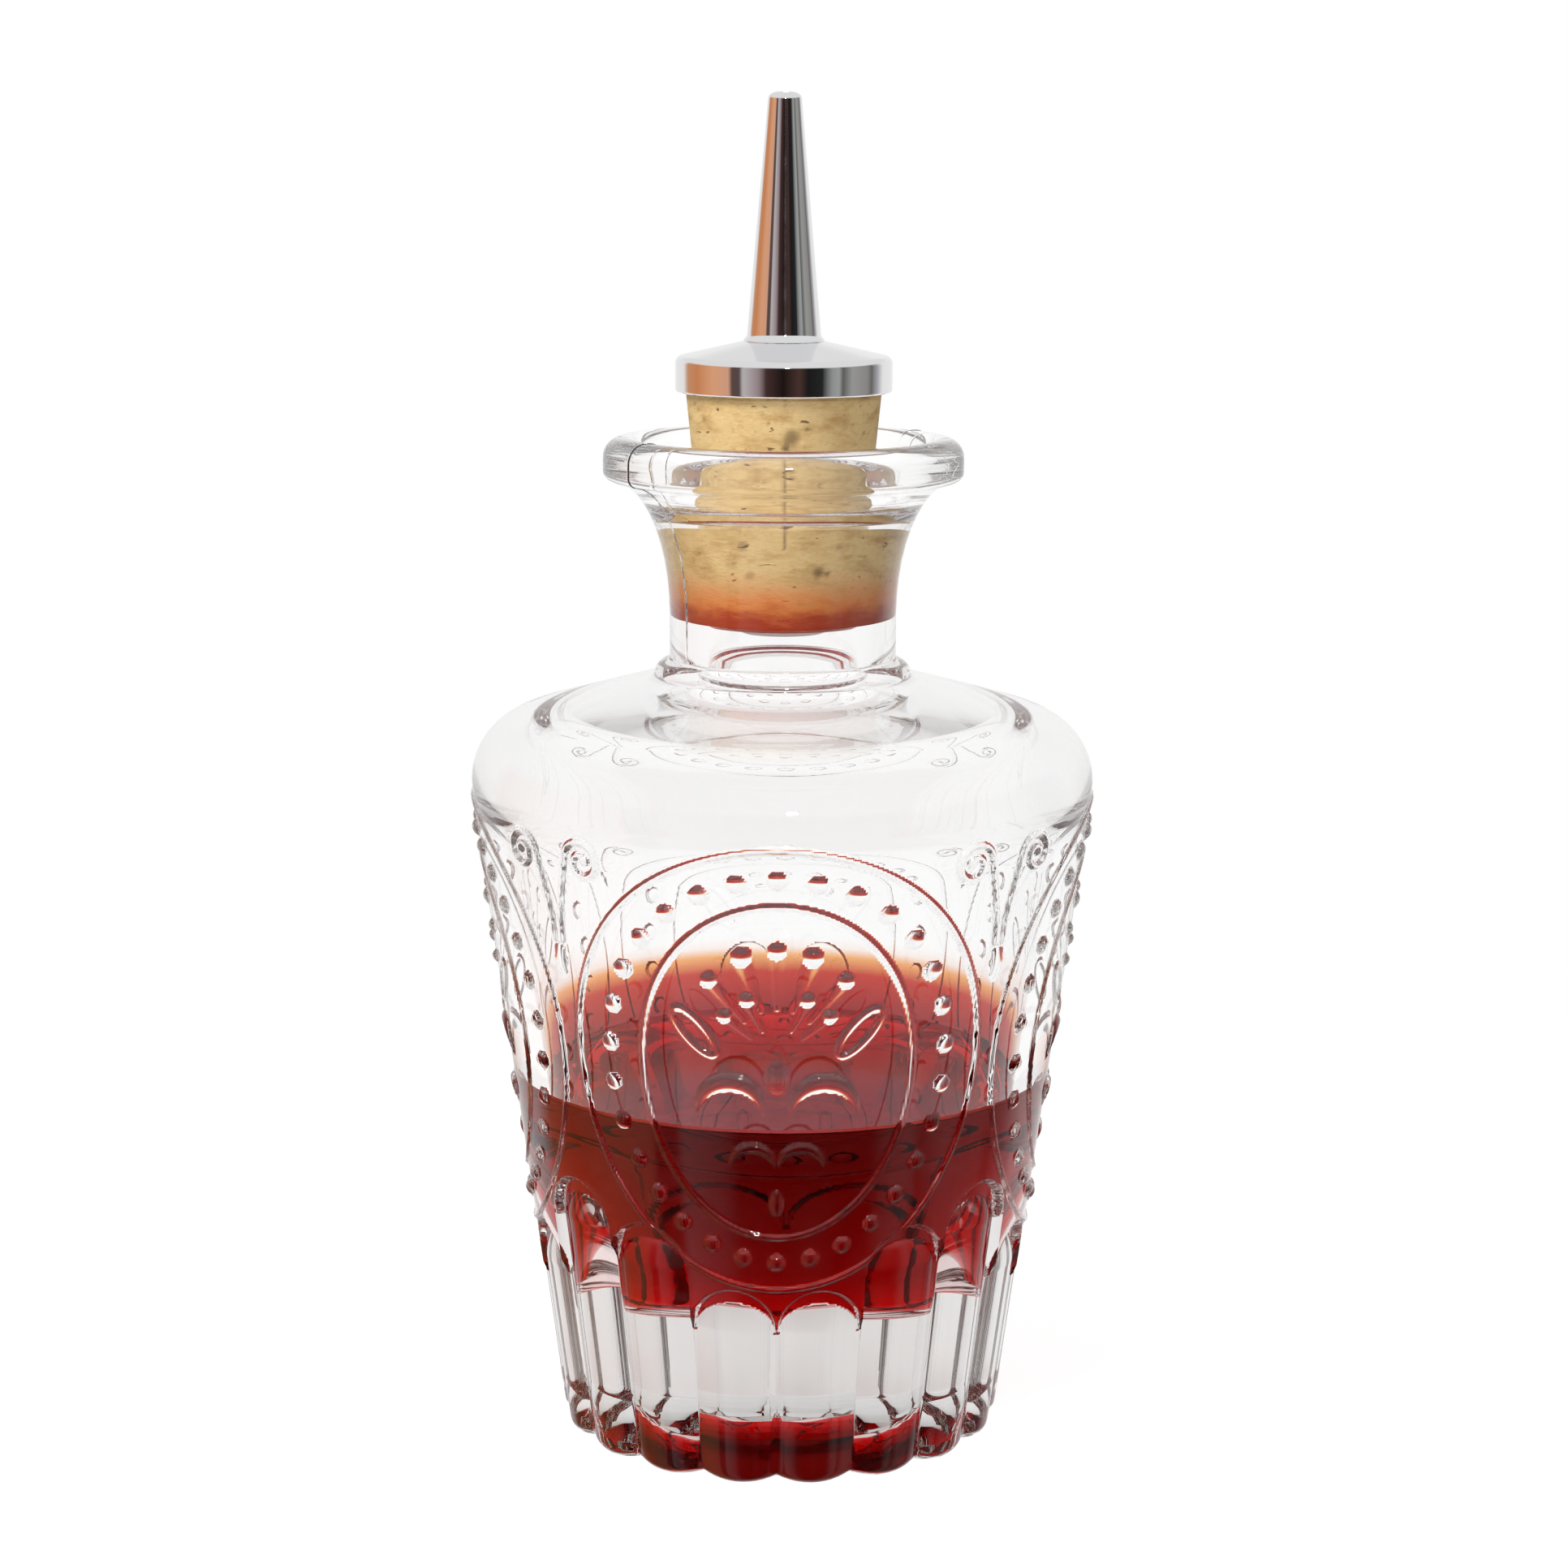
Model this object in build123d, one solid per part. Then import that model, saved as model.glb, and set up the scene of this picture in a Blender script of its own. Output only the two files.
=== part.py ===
"""Dasher bottle for bitters: pressed glass bottle, tapered cork and metal dasher top.

Units are millimetres. +Z is up, the origin is the middle of the standing face,
and the front medallion looks toward -Y.
"""

import os
from math import atan2, cos, pi, radians, sin, sqrt, tan

from build123d import *

# Outside of the glass body
body_foot_radius = 26.25  # side line carried down to the table, before the heel is rounded
shoulder_corner_radius = 37.5  # where side line and shoulder line would meet
shoulder_corner_height = 84.5
shoulder_round = 8.0
heel_round = 2.2
base_dish_radius = 21.5  # hollow under the base, inside the standing ring
base_dish_depth = 6.8

# Neck and lip
neck_radius = 13.3
neck_foot_height = 91.4
neck_foot_round = 2.0
neck_ring_radius = 13.5
neck_ring_section = 1.6
neck_ring_height = 91.0
flare_start_height = 98.0
flare_end_radius = 20.3
lip_radius = 21.05
lip_bottom_height = 113.8
lip_top_height = 118.7
lip_bottom_round = 0.6
lip_top_round = 2.4
mouth_radius = 16.8
mouth_round = 2.3
cup_foot_radius = 14.4  # where the mouth's steep wall and its sloping floor would meet
cup_foot_height = 111.4
cup_foot_round = 3.0

# Inside of the glass
side_wall = 4.0
shoulder_wall = 2.9
floor_height = 17.3
bowl_foot_radius = 14.5  # where the flat floor and the bowl's side would meet
bowl_foot_round = 6.0
bowl_rim_height = 42.0  # where the bowl's side and the straight inner wall would meet
bowl_rim_round = 14.0
inner_shoulder_round = 10.0
throat_height = 87.1  # where the inner shoulder line would meet the bore
throat_round = 8.0
bore_top_height = 110.2
bore_top_round = 1.0

# Columns round the lower body
column_count = 18
column_depth = 1.2  # from crest to valley, at the foot
column_crest_inset = 0.08  # crest under the smooth side
column_arch_depth = 1.25  # floor of the arched pocket that holds the column's domed end
column_top_gap = 1.0  # below the medallion's outer rail
column_top_limit = 35.0

# Medallions, with each half width measured along the surface
medallion_count = 4
medallion_height = 51.0
outer_rail_half_width = 24.4
outer_rail_half_height = 26.0
inner_rail_half_width = 15.6
inner_rail_half_height = 19.6
rail_width = 0.9
relief_raise = 0.5
relief_sink = 0.6  # how far a raised figure is rooted in the wall
bead_count = 30
bead_ring_half_width = 19.8
bead_ring_half_height = 22.6
bead_ball_radius = 1.3
bead_raise = 0.75
outline_point_count = 24

# Palmette inside each medallion
fan_height = 53.0
petal_head_radius = 1.1
petal_foot_radius = 0.3
fan_radius = 12.9
petal_start_share = 0.45
fan_places = [(0.0, 1.0), (18.0, 1.0), (38.0, 0.96), (29.0, 0.52), (52.0, 0.56)]
loop_half_length = 3.4  # leaf-shaped loop on each side of the fan
loop_half_width = 1.15
loop_line_width = 0.7
loop_reach = 9.1
loop_height = 55.8
loop_lean = 41.0
crescent_radius = 4.2
crescent_shift = 1.7
crescent_reach = 5.2
crescent_height = 47.0
drop_half_width = 0.8
drop_half_height = 1.7
drop_height = 50.8
root_crescent_radius = 2.6
root_crescent_reach = 2.7
root_crescent_height = 40.5
root_drop_height = 35.6

# Scrolls between the medallions
scroll_height = 74.0
scroll_reach = 5.0
scroll_radius = 2.7
scroll_width = 0.8
scroll_turns = 1.4
scroll_point_count = 14
scroll_eye_share = 0.22
stem_foot_height = 62.0
leaf_half_width = 1.1
leaf_half_height = 2.3

# Cork
cork_bottom_radius = 8.7
cork_top_radius = 11.6
cork_bottom_height = 97.0
cork_length = 29.2
cork_edge_round = 0.5
cork_fit_gap = 0.05

# Flow tube through the cork
tube_radius = 3.0
tube_wall = 0.6
tube_rise = 7.6  # above the cork's top
tube_flange_radius = 5.0
tube_flange_thickness = 0.8
twist_gap = 0.05  # running clearance of the metal top on the cork
press_gap = 0.02  # between pieces pressed together

# Dash restrictor in the tube's lower end
restrictor_length = 4.0
restrictor_hole_radius = 0.6

# Cap
cap_radius = 12.6
cap_bottom_height = 124.0
cap_edge_height = 128.0
cap_edge_round = 0.8
cap_rim_round = 0.2
cap_dome_radius = 4.6  # where the domed top meets the cone's foot
cap_dome_height = 129.8

# Dasher cone
cone_foot_radius = 4.3
cone_foot_skirt = 0.4  # small step at the seam with the cap
cone_tip_radius = 1.95
cone_tip_height = 157.4
cone_dome_rise = 0.8
cone_wall = 0.9
tip_hole_radius = 0.75

# Bitters
fill_height = 43.0
fill_gap = 0.05

cut_overrun = 2.0

body_slope = (shoulder_corner_radius - body_foot_radius) / shoulder_corner_height
cork_slope = (cork_top_radius - cork_bottom_radius) / cork_length
cork_top_height = cork_bottom_height + cork_length


def body_radius(height):
    """Radius of the smooth side at a height."""
    return body_foot_radius + body_slope * height


def cork_radius(height):
    """Radius of the cork at a height."""
    return cork_bottom_radius + cork_slope * (height - cork_bottom_height)


def spun(*edges):
    """Solid of revolution about Z of a closed outline drawn as radius and height."""
    return revolve(Plane.XZ * make_face(list(edges)), Axis.Z)


def cavity_path(gap):
    """Inside of the glass from the floor's middle to the bore's foot, moved in by a gap."""
    bore = cork_radius(cork_bottom_height) + cork_fit_gap - gap
    floor = floor_height + gap
    corner_radius = shoulder_corner_radius - side_wall - gap
    corner_height = shoulder_corner_height - shoulder_wall - gap
    points = [
        (0, floor),
        (bowl_foot_radius - gap, floor),
        (body_radius(bowl_rim_height) - side_wall - gap, bowl_rim_height + gap),
        (corner_radius, corner_height),
        (bore, throat_height - gap),
        (bore, cork_bottom_height),
    ]
    return FilletPolyline(*points, radius=[bowl_foot_round, bowl_rim_round, inner_shoulder_round, throat_round])


def blank_bottle():
    """Smooth glass before the columns are cut and the figures are raised."""
    bore_top = cork_radius(bore_top_height) + cork_fit_gap
    foot = FilletPolyline(
        (0, 0),
        (body_foot_radius, 0),
        (shoulder_corner_radius, shoulder_corner_height),
        (neck_radius, neck_foot_height),
        (neck_radius, flare_start_height),
        radius=[heel_round, shoulder_round, neck_foot_round],
    )
    flare = EllipticalCenterArc(
        (flare_end_radius, flare_start_height),
        flare_end_radius - neck_radius,
        lip_bottom_height - flare_start_height,
        start_angle=90,
        arc_size=90,
    )
    inside = cavity_path(0)
    lip = FilletPolyline(
        (flare_end_radius, lip_bottom_height),
        (lip_radius, lip_bottom_height),
        (lip_radius, lip_top_height),
        (mouth_radius, lip_top_height),
        (cup_foot_radius, cup_foot_height),
        (bore_top, bore_top_height),
        inside @ 1,
        radius=[lip_bottom_round, lip_top_round, mouth_round, cup_foot_round, bore_top_round],
    )
    axis = Line((0, 0), (0, floor_height))
    ring = Pos(0, 0, neck_ring_height) * Torus(neck_ring_radius, neck_ring_section)
    dish_sphere = (base_dish_radius**2 + base_dish_depth**2) / (2 * base_dish_depth)
    dish = Pos(0, 0, base_dish_depth - dish_sphere) * Sphere(dish_sphere)
    glass = spun(foot, flare, lip, inside, axis)
    return glass + ring - dish


def rail_bottom(offset_degrees):
    """Lowest height of a medallion's outer rail, an angle away from its middle line."""
    share = radians(offset_degrees) * body_radius(medallion_height) / outer_rail_half_width
    if share >= 1:
        return column_top_limit
    return medallion_height - outer_rail_half_height * sqrt(1 - share**2)


def column_top(angle):
    """Height where the column at an angle ends, under the nearest medallion's rail."""
    pitch = 360 / medallion_count
    offset = abs((angle + pitch / 2) % pitch - pitch / 2)
    return min(rail_bottom(offset) - column_top_gap, column_top_limit)


def column_groove(top):
    """Glass to cut away round one column that faces -Y and ends at a height."""
    half_angle = pi / column_count
    valley_share = 1 - column_depth / body_foot_radius
    arch = body_radius(top) * sin(half_angle)
    spring = top - arch
    reach = shoulder_corner_radius

    def section(height):
        """Centre and radius of the column's round section at a height."""
        crest = body_radius(height) - column_crest_inset
        valley = body_radius(height) * valley_share
        rise = crest - valley * cos(half_angle)
        chord = valley * sin(half_angle)
        radius = (chord**2 + rise**2) / (2 * rise)
        return crest - radius, radius

    facing = Plane(origin=(0, 0, 0), x_dir=(1, 0, 0), z_dir=(0, -1, 0))
    door = Pos(0, spring) * Circle(arch)
    door += Pos(0, spring / 2 - cut_overrun / 2) * Rectangle(2 * arch, spring + cut_overrun)
    wedge = make_face(
        Polyline((0, 0), (-reach * tan(half_angle), -reach), (reach * tan(half_angle), -reach), close=True)
    )
    groove = extrude(facing * door, reach)
    groove &= extrude(Pos(0, 0, -cut_overrun) * wedge, top + 2 * cut_overrun)
    groove -= spun(
        Polyline(
            (0, -cut_overrun),
            (body_radius(-cut_overrun) - column_arch_depth, -cut_overrun),
            (body_radius(top + cut_overrun) - column_arch_depth, top + cut_overrun),
            (0, top + cut_overrun),
            close=True,
        )
    )
    low_centre, low_radius = section(-cut_overrun)
    high_centre, high_radius = section(spring)
    column = loft(
        [
            Pos(0, -low_centre, -cut_overrun) * Circle(low_radius),
            Pos(0, -high_centre, spring) * Circle(high_radius),
        ],
        ruled=True,
    )
    return groove - column - Pos(0, -high_centre, spring) * Sphere(high_radius)


def all_grooves():
    """Grooves round every column, with one shape for each ending height."""
    shapes = {}
    grooves = []
    for index in range(column_count):
        angle = (index + 0.5) * 360 / column_count
        top = round(column_top(angle), 3)
        if top not in shapes:
            shapes[top] = column_groove(top)
        grooves.append(Rot(0, 0, angle) * shapes[top])
    return grooves


def panel_point(arc, rise):
    """Place seen from the front of a point on the side, from its arc and height."""
    angle = arc / body_radius(medallion_height)
    height = medallion_height + rise
    return (body_radius(height) * sin(angle), height)


def oval(half_width, half_height):
    """Oval round the medallion's middle, as seen from the front."""
    turns = [2 * pi * step / outline_point_count for step in range(outline_point_count)]
    points = [panel_point(half_width * sin(turn), half_height * cos(turn)) for turn in turns]
    return make_face(Spline(*points, periodic=True))


def oval_rail(half_width, half_height):
    """Raised oval band with its middle line at the given half sizes."""
    half_rail = rail_width / 2
    wide = oval(half_width + half_rail, half_height + half_rail)
    return wide - oval(half_width - half_rail, half_height - half_rail)


def petal(lean, length_share):
    """Drop-shaped petal of the fan that leans from the vertical."""
    head = fan_radius * length_share
    foot = head * petal_start_share
    tilt = radians(lean)
    head_disc = Pos(head * sin(tilt), fan_height + head * cos(tilt)) * Circle(petal_head_radius)
    foot_disc = Pos(foot * sin(tilt), fan_height + foot * cos(tilt)) * Circle(petal_foot_radius)
    return make_hull([*head_disc.edges(), *foot_disc.edges()])


def crescent(x, height, radius):
    """Arched crescent with its horns down."""
    disc = Pos(x, height) * Circle(radius)
    return disc - Pos(x, height - crescent_shift) * Circle(radius)


def leaf_loop(side):
    """Outlined leaf beside the fan that leans outward."""
    half_line = loop_line_width / 2
    loop = Ellipse(loop_half_width + half_line, loop_half_length + half_line)
    loop -= Ellipse(loop_half_width - half_line, loop_half_length - half_line)
    return Pos(side * loop_reach, loop_height) * Rot(0, 0, -side * loop_lean) * loop


def medallion_figures():
    """Flat figures of one medallion, as seen from the front."""
    figures = [oval_rail(outer_rail_half_width, outer_rail_half_height)]
    figures.append(oval_rail(inner_rail_half_width, inner_rail_half_height))
    for lean, length_share in fan_places:
        figures += [petal(side * lean, length_share) for side in ((1, -1) if lean else (1,))]
    for side in (1, -1):
        figures.append(leaf_loop(side))
        figures.append(crescent(side * crescent_reach, crescent_height, crescent_radius))
        figures.append(crescent(side * root_crescent_reach, root_crescent_height, root_crescent_radius))
    for height in (drop_height, root_drop_height):
        figures.append(Pos(0, height) * Ellipse(drop_half_width, drop_half_height))
    return figures


def scroll(side):
    """Middle line of a spiral scroll and its stem, on one side of a space between medallions."""
    points = []
    for step in range(scroll_point_count):
        share = step / (scroll_point_count - 1)
        turn = 2 * pi * scroll_turns * share
        radius = scroll_radius * (1 - (1 - scroll_eye_share) * share)
        points.append((side * (scroll_reach - radius * cos(turn)), scroll_height + radius * sin(turn)))
    stem_foot = (side * leaf_half_width / 2, stem_foot_height + leaf_half_height)
    return Spline(stem_foot, *points)


def scroll_figures():
    """Flat figure of one space between medallions, as seen from the front."""
    figure = Pos(0, stem_foot_height) * Ellipse(leaf_half_width, leaf_half_height)
    for side in (1, -1):
        path = scroll(side)
        eye = path @ 1
        figure += trace(path, scroll_width)
        figure += Pos(eye.X, eye.Y) * Circle(scroll_width)
    return list(figure.faces())


def relief_skin():
    """Thin skin on the smooth side that the raised figures are cut from."""
    high = shoulder_corner_height
    return spun(
        Polyline(
            (body_foot_radius - relief_sink, 0),
            (body_foot_radius + relief_raise, 0),
            (body_radius(high) + relief_raise, high),
            (body_radius(high) - relief_sink, high),
            close=True,
        )
    )


def raised(figures):
    """Raised solids of flat figures on the wall that faces -Y."""
    facing = Plane(origin=(0, 0, 0), x_dir=(1, 0, 0), z_dir=(0, -1, 0))
    prisms = [extrude(facing * figure, shoulder_corner_radius + relief_raise) for figure in figures]
    skin = relief_skin()
    solids = []
    for prism in prisms:
        solids += (skin & prism).solids()
    return solids


def beads():
    """Ring of round beads of the medallion that faces -Y."""
    balls = []
    lean = atan2(body_slope, 1)
    sunk = bead_ball_radius - bead_raise
    for step in range(bead_count):
        turn = 2 * pi * step / bead_count
        angle = bead_ring_half_width * sin(turn) / body_radius(medallion_height)
        height = medallion_height + bead_ring_half_height * cos(turn)
        radius = body_radius(height) - sunk / cos(lean)
        balls.append(Pos(radius * sin(angle), -radius * cos(angle), height) * Sphere(bead_ball_radius))
    return balls


def glass_bottle():
    """Pressed glass bottle with columns, medallions, beads and scrolls."""
    quarter = raised(medallion_figures()) + beads()
    quarter += [Rot(0, 0, 180 / medallion_count) * solid for solid in raised(scroll_figures())]
    relief = []
    for index in range(medallion_count):
        relief += [Rot(0, 0, index * 360 / medallion_count) * solid for solid in quarter]
    return (blank_bottle() - all_grooves()) + relief


def bitters_fill():
    """Bitters that stands in the bottle."""
    inside = cavity_path(fill_gap)
    axis_top = Polyline(inside @ 1, (0, cork_bottom_height), inside @ 0)
    level = fill_height - floor_height
    keep = Pos(0, 0, floor_height + level / 2) * Cylinder(shoulder_corner_radius, level)
    return spun(inside, axis_top) & keep


def cork_stopper():
    """Tapered cork, bored for the flow tube."""
    bore = tube_radius + twist_gap
    return spun(
        FilletPolyline(
            (bore, cork_bottom_height),
            (cork_bottom_radius, cork_bottom_height),
            (cork_top_radius, cork_top_height),
            (bore, cork_top_height),
            radius=[cork_edge_round, cork_edge_round],
        ),
        Line((bore, cork_top_height), (bore, cork_bottom_height)),
    )


def flow_tube():
    """Milky tube that carries the bitters through the cork, flanged below it."""
    flange_top = cork_bottom_height - twist_gap
    flange_bottom = flange_top - tube_flange_thickness
    inner = tube_radius - tube_wall
    top = cork_top_height + tube_rise
    return spun(
        Polyline(
            (inner, flange_bottom),
            (tube_flange_radius, flange_bottom),
            (tube_flange_radius, flange_top),
            (tube_radius, flange_top),
            (tube_radius, top),
            (inner, top),
            close=True,
        )
    )


def dash_restrictor():
    """Plug with a fine hole that meters the dashes, pressed in the tube's lower end."""
    radius = tube_radius - tube_wall - press_gap
    bottom = cork_bottom_height - twist_gap - tube_flange_thickness
    plug = Cylinder(radius, restrictor_length) - Cylinder(restrictor_hole_radius, restrictor_length)
    return Pos(0, 0, bottom + restrictor_length / 2) * plug


def cap_shell():
    """Domed metal cap over the cork's top, with a skirt."""
    roof = cork_top_height + twist_gap
    inside = cork_radius(cork_top_height) + 2 * twist_gap
    hole = tube_radius + press_gap
    return spun(
        FilletPolyline(
            (inside, cap_bottom_height),
            (cap_radius, cap_bottom_height),
            (cap_radius, cap_edge_height),
            (cap_dome_radius, cap_dome_height),
            (hole, cap_dome_height),
            radius=[cap_rim_round, cap_edge_round, cap_edge_round],
        ),
        Polyline((hole, cap_dome_height), (hole, roof), (inside, roof), (inside, cap_bottom_height)),
    )


def dasher_cone():
    """Hollow metal cone that lets single dashes out at its tip."""
    foot = cap_dome_height
    tip = cone_tip_height + cone_dome_rise
    socket = tube_radius + press_gap
    socket_top = cork_top_height + tube_rise
    tip_bore_height = cone_tip_height - cone_wall
    outside = Polyline(
        (socket, foot),
        (cone_foot_radius + cone_foot_skirt, foot),
        (cone_foot_radius, foot + cone_foot_skirt),
        (cone_tip_radius, cone_tip_height),
    )
    dome = ThreePointArc(
        (cone_tip_radius, cone_tip_height),
        ((cone_tip_radius + tip_hole_radius) / 2, cone_tip_height + cone_dome_rise * sqrt(1 / 2)),
        (tip_hole_radius, tip),
    )
    inside = Polyline(
        (tip_hole_radius, tip),
        (tip_hole_radius, tip_bore_height),
        (cone_tip_radius - cone_wall, tip_bore_height),
        (socket, socket_top),
        (socket, foot),
    )
    return spun(outside, dome, inside)


def main():
    """Write one STEP file for each piece."""
    pieces = {
        "glass_bottle": glass_bottle,
        "bitters_fill": bitters_fill,
        "cork_stopper": cork_stopper,
        "flow_tube": flow_tube,
        "dash_restrictor": dash_restrictor,
        "cap_shell": cap_shell,
        "dasher_cone": dasher_cone,
    }
    os.makedirs("parts", exist_ok=True)
    for name, build in pieces.items():
        solid = build()
        solid.label = name
        export_step(solid, f"parts/{name}.step")
        print(f"{name}: {len(solid.solids())} solid, {solid.volume:.1f} mm3")


main()
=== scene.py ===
"""Dressed bitters bottle: pressed glass, red bitters, cork and chromed dasher top.

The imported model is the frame. Sizes are written in millimetres and turned into metres when a mesh is
finished. +Z is up, the origin is the middle of the standing face, and the front medallion looks to -Y.
"""

import logging
import math
from collections.abc import Iterable
from dataclasses import dataclass
from enum import Enum

import bmesh
import bpy
import numpy as np
from mathutils import Matrix, Vector, noise


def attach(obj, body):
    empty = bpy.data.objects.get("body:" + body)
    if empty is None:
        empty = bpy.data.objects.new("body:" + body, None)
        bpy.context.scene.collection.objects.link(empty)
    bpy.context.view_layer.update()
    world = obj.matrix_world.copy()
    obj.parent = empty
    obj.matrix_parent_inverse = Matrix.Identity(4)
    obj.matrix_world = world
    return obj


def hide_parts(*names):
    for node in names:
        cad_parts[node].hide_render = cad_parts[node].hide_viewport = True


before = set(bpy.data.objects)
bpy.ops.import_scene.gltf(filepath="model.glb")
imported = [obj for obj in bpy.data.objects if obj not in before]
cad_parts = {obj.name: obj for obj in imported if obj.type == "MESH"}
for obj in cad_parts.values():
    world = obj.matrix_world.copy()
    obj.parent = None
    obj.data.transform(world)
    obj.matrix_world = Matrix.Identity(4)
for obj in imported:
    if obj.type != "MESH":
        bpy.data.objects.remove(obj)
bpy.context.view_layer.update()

MM = 0.001
log = logging.getLogger("bitters_bottle")

Point = tuple[float, float]
Point3 = tuple[float, float, float]
Colour = tuple[float, float, float]
Shape = tuple[float, ...]
Stops = tuple[tuple[float, Colour], ...]
Array = np.ndarray
EditMesh = bmesh.types.BMesh
Piece = bpy.types.Object
Material = bpy.types.Material
Node = bpy.types.Node
Socket = bpy.types.NodeSocket


class Body(Enum):
    """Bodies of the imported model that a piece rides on."""

    BOTTLE = "bottle"
    CORK = "cork"
    DASHER = "dasher"


def smooth_step(value: Array) -> Array:
    """Smooth ramp from 0 to 1 over the same range of the value."""
    share = np.clip(value, 0.0, 1.0)
    return share * share * (3.0 - 2.0 * share)


def dome(share: Array) -> Array:
    """Rounded rise from 0 at the edge to 1 at the middle line."""
    inside = np.clip(share, 0.0, 1.0)
    return inside * (2.0 - inside)


def leg_away(x: Array, z: Array, start: Array, end: Array) -> tuple[Array, Array]:
    """Share of the way along a straight leg where it comes nearest, and the distance to it there."""
    axis = end - start
    share = np.clip(((x - start[0]) * axis[0] + (z - start[1]) * axis[1]) / (axis @ axis), 0.0, 1.0)
    return share, np.hypot(x - start[0] - axis[0] * share, z - start[1] - axis[1] * share)


def rounded_path(corners: list[Point3], segments: int = 6) -> list[Point]:
    """Outline with rounded corners.

    Args:
        corners: Radius, height and rounding of each corner, in order.
        segments: Straight pieces in one rounding.

    Returns:
        Points of the outline.
    """
    points: list[Point] = []
    for index, (radius, height, rounding) in enumerate(corners):
        here = Vector((radius, height))
        if rounding <= 0 or index in (0, len(corners) - 1):
            points.append((here.x, here.y))
            continue
        back = (Vector(corners[index - 1][:2]) - here).normalized()
        ahead = (Vector(corners[index + 1][:2]) - here).normalized()
        half = back.angle(ahead) / 2
        reach = rounding / math.tan(half)
        centre = here + (back + ahead).normalized() * (rounding / math.sin(half))
        start = here + back * reach - centre
        sweep = math.pi - 2 * half
        turn = 1 if start.y * back.x - start.x * back.y > 0 else -1
        for step in range(segments + 1):
            arm = start.copy()
            arm.rotate(Matrix.Rotation(turn * sweep * step / segments, 2))
            points.append((centre.x + arm.x, centre.y + arm.y))
    return points


def between(start: Point, end: Point, share: float) -> Point:
    """Point at a share of the way from one point to another."""
    return (start[0] + (end[0] - start[0]) * share, start[1] + (end[1] - start[1]) * share)


def curved(middle: Point, reach: Point, turns: Iterable[float]) -> list[Point]:
    """Points of an oval at angles from its level half width, which is negative for the inner side."""
    return [(middle[0] + reach[0] * math.cos(turn), middle[1] + reach[1] * math.sin(turn)) for turn in turns]


def refined(points: list[Point], spacing: float, low: float, high: float) -> list[Point]:
    """Outline with extra points where it runs between two heights.

    Args:
        points: Outline to divide.
        spacing: Longest run that is left undivided.
        low: Lowest height that is divided.
        high: Greatest height that is divided.

    Returns:
        Points of the divided outline.
    """
    result = [points[0]]
    for start, end in zip(points, points[1:]):
        middle = (start[1] + end[1]) / 2
        count = max(1, math.ceil(math.dist(start, end) / spacing)) if low <= middle <= high else 1
        result += [between(start, end, step / count) for step in range(1, count + 1)]
    return result


def braced(points: list[Point], longest: float = 1.3, reach: float = 0.12) -> list[Point]:
    """Outline with a point close to each end of its long runs, so that shading keeps them straight.

    Args:
        points: Outline to brace.
        longest: Longest run that is left without extra points.
        reach: Distance of an extra point from the end of its run.

    Returns:
        Points of the braced outline.
    """
    result = [points[0]]
    for start, end in zip(points, points[1:]):
        length = math.dist(start, end)
        if length > longest:
            result += [between(start, end, share) for share in (reach / length, 1.0 - reach / length)]
        result.append(end)
    return result


def swollen(points: list[Point], amount: float) -> list[Point]:
    """Outline that starts on the axis, moved to the right of its way by an amount."""
    result = []
    last = len(points) - 1
    for index, (radius, height) in enumerate(points):
        before = points[max(index - 1, 0)]
        after = points[min(index + 1, last)]
        way = (Vector(after) - Vector(before)).normalized()
        result.append((radius + way.y * amount if index else 0.0, height - way.x * amount))
    return result


def lathe(outline: list[Point], steps: int, closed: bool = False) -> EditMesh:
    """Mesh turned about Z from an outline.

    Args:
        outline: Radius and height of each point.
        steps: Divisions of the full turn.
        closed: Whether the last point joins the first.

    Returns:
        Closed mesh, in millimetres.
    """
    mesh = bmesh.new()
    verts = [mesh.verts.new((0.0, -radius, height)) for radius, height in outline]
    pairs = list(zip(verts, verts[1:]))
    if closed:
        pairs.append((verts[-1], verts[0]))
    edges = [mesh.edges.new(pair) for pair in pairs]
    bmesh.ops.spin(
        mesh,
        geom=verts + edges,
        cent=(0, 0, 0),
        axis=(0, 0, 1),
        angle=2 * math.pi,
        steps=steps,
        use_merge=True,
    )
    bmesh.ops.remove_doubles(mesh, verts=mesh.verts, dist=1e-4)
    bmesh.ops.recalc_face_normals(mesh, faces=mesh.faces)
    return mesh


def finished(mesh: EditMesh, name: str) -> Piece:
    """Smooth object in metres, at the origin, that uses up a mesh in millimetres."""
    bmesh.ops.scale(mesh, vec=(MM, MM, MM), verts=mesh.verts)
    for face in mesh.faces:
        face.smooth = True
    data = bpy.data.meshes.new(name)
    mesh.to_mesh(data)
    mesh.free()
    piece = bpy.data.objects.new(name, data)
    bpy.context.scene.collection.objects.link(piece)
    return piece


def spots_of(data: bpy.types.Mesh, what: str = "co") -> Array:
    """Places or normals of a mesh's vertices, one row each."""
    values = np.empty(len(data.vertices) * 3)
    data.vertices.foreach_get(what, values)
    return values.reshape(-1, 3)


def angles_of(spots: Array) -> Array:
    """Angle of each point from the front, round the axis."""
    return np.arctan2(spots[..., 0], -spots[..., 1])


def mark(data: bpy.types.Mesh, name: str, domain: str, values: Array) -> None:
    """Write a number for each face or point of a mesh, for its material to read."""
    layer = data.attributes.new(name, "FLOAT", domain)
    layer.data.foreach_set("value", values.astype(np.float32))


def dress(piece: Piece, material: Material) -> None:
    """Give a piece one material on all of its faces."""
    slots = piece.data.materials
    if len(slots) == 0:
        slots.append(material)
    for index in range(len(slots)):
        slots[index] = material


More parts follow.
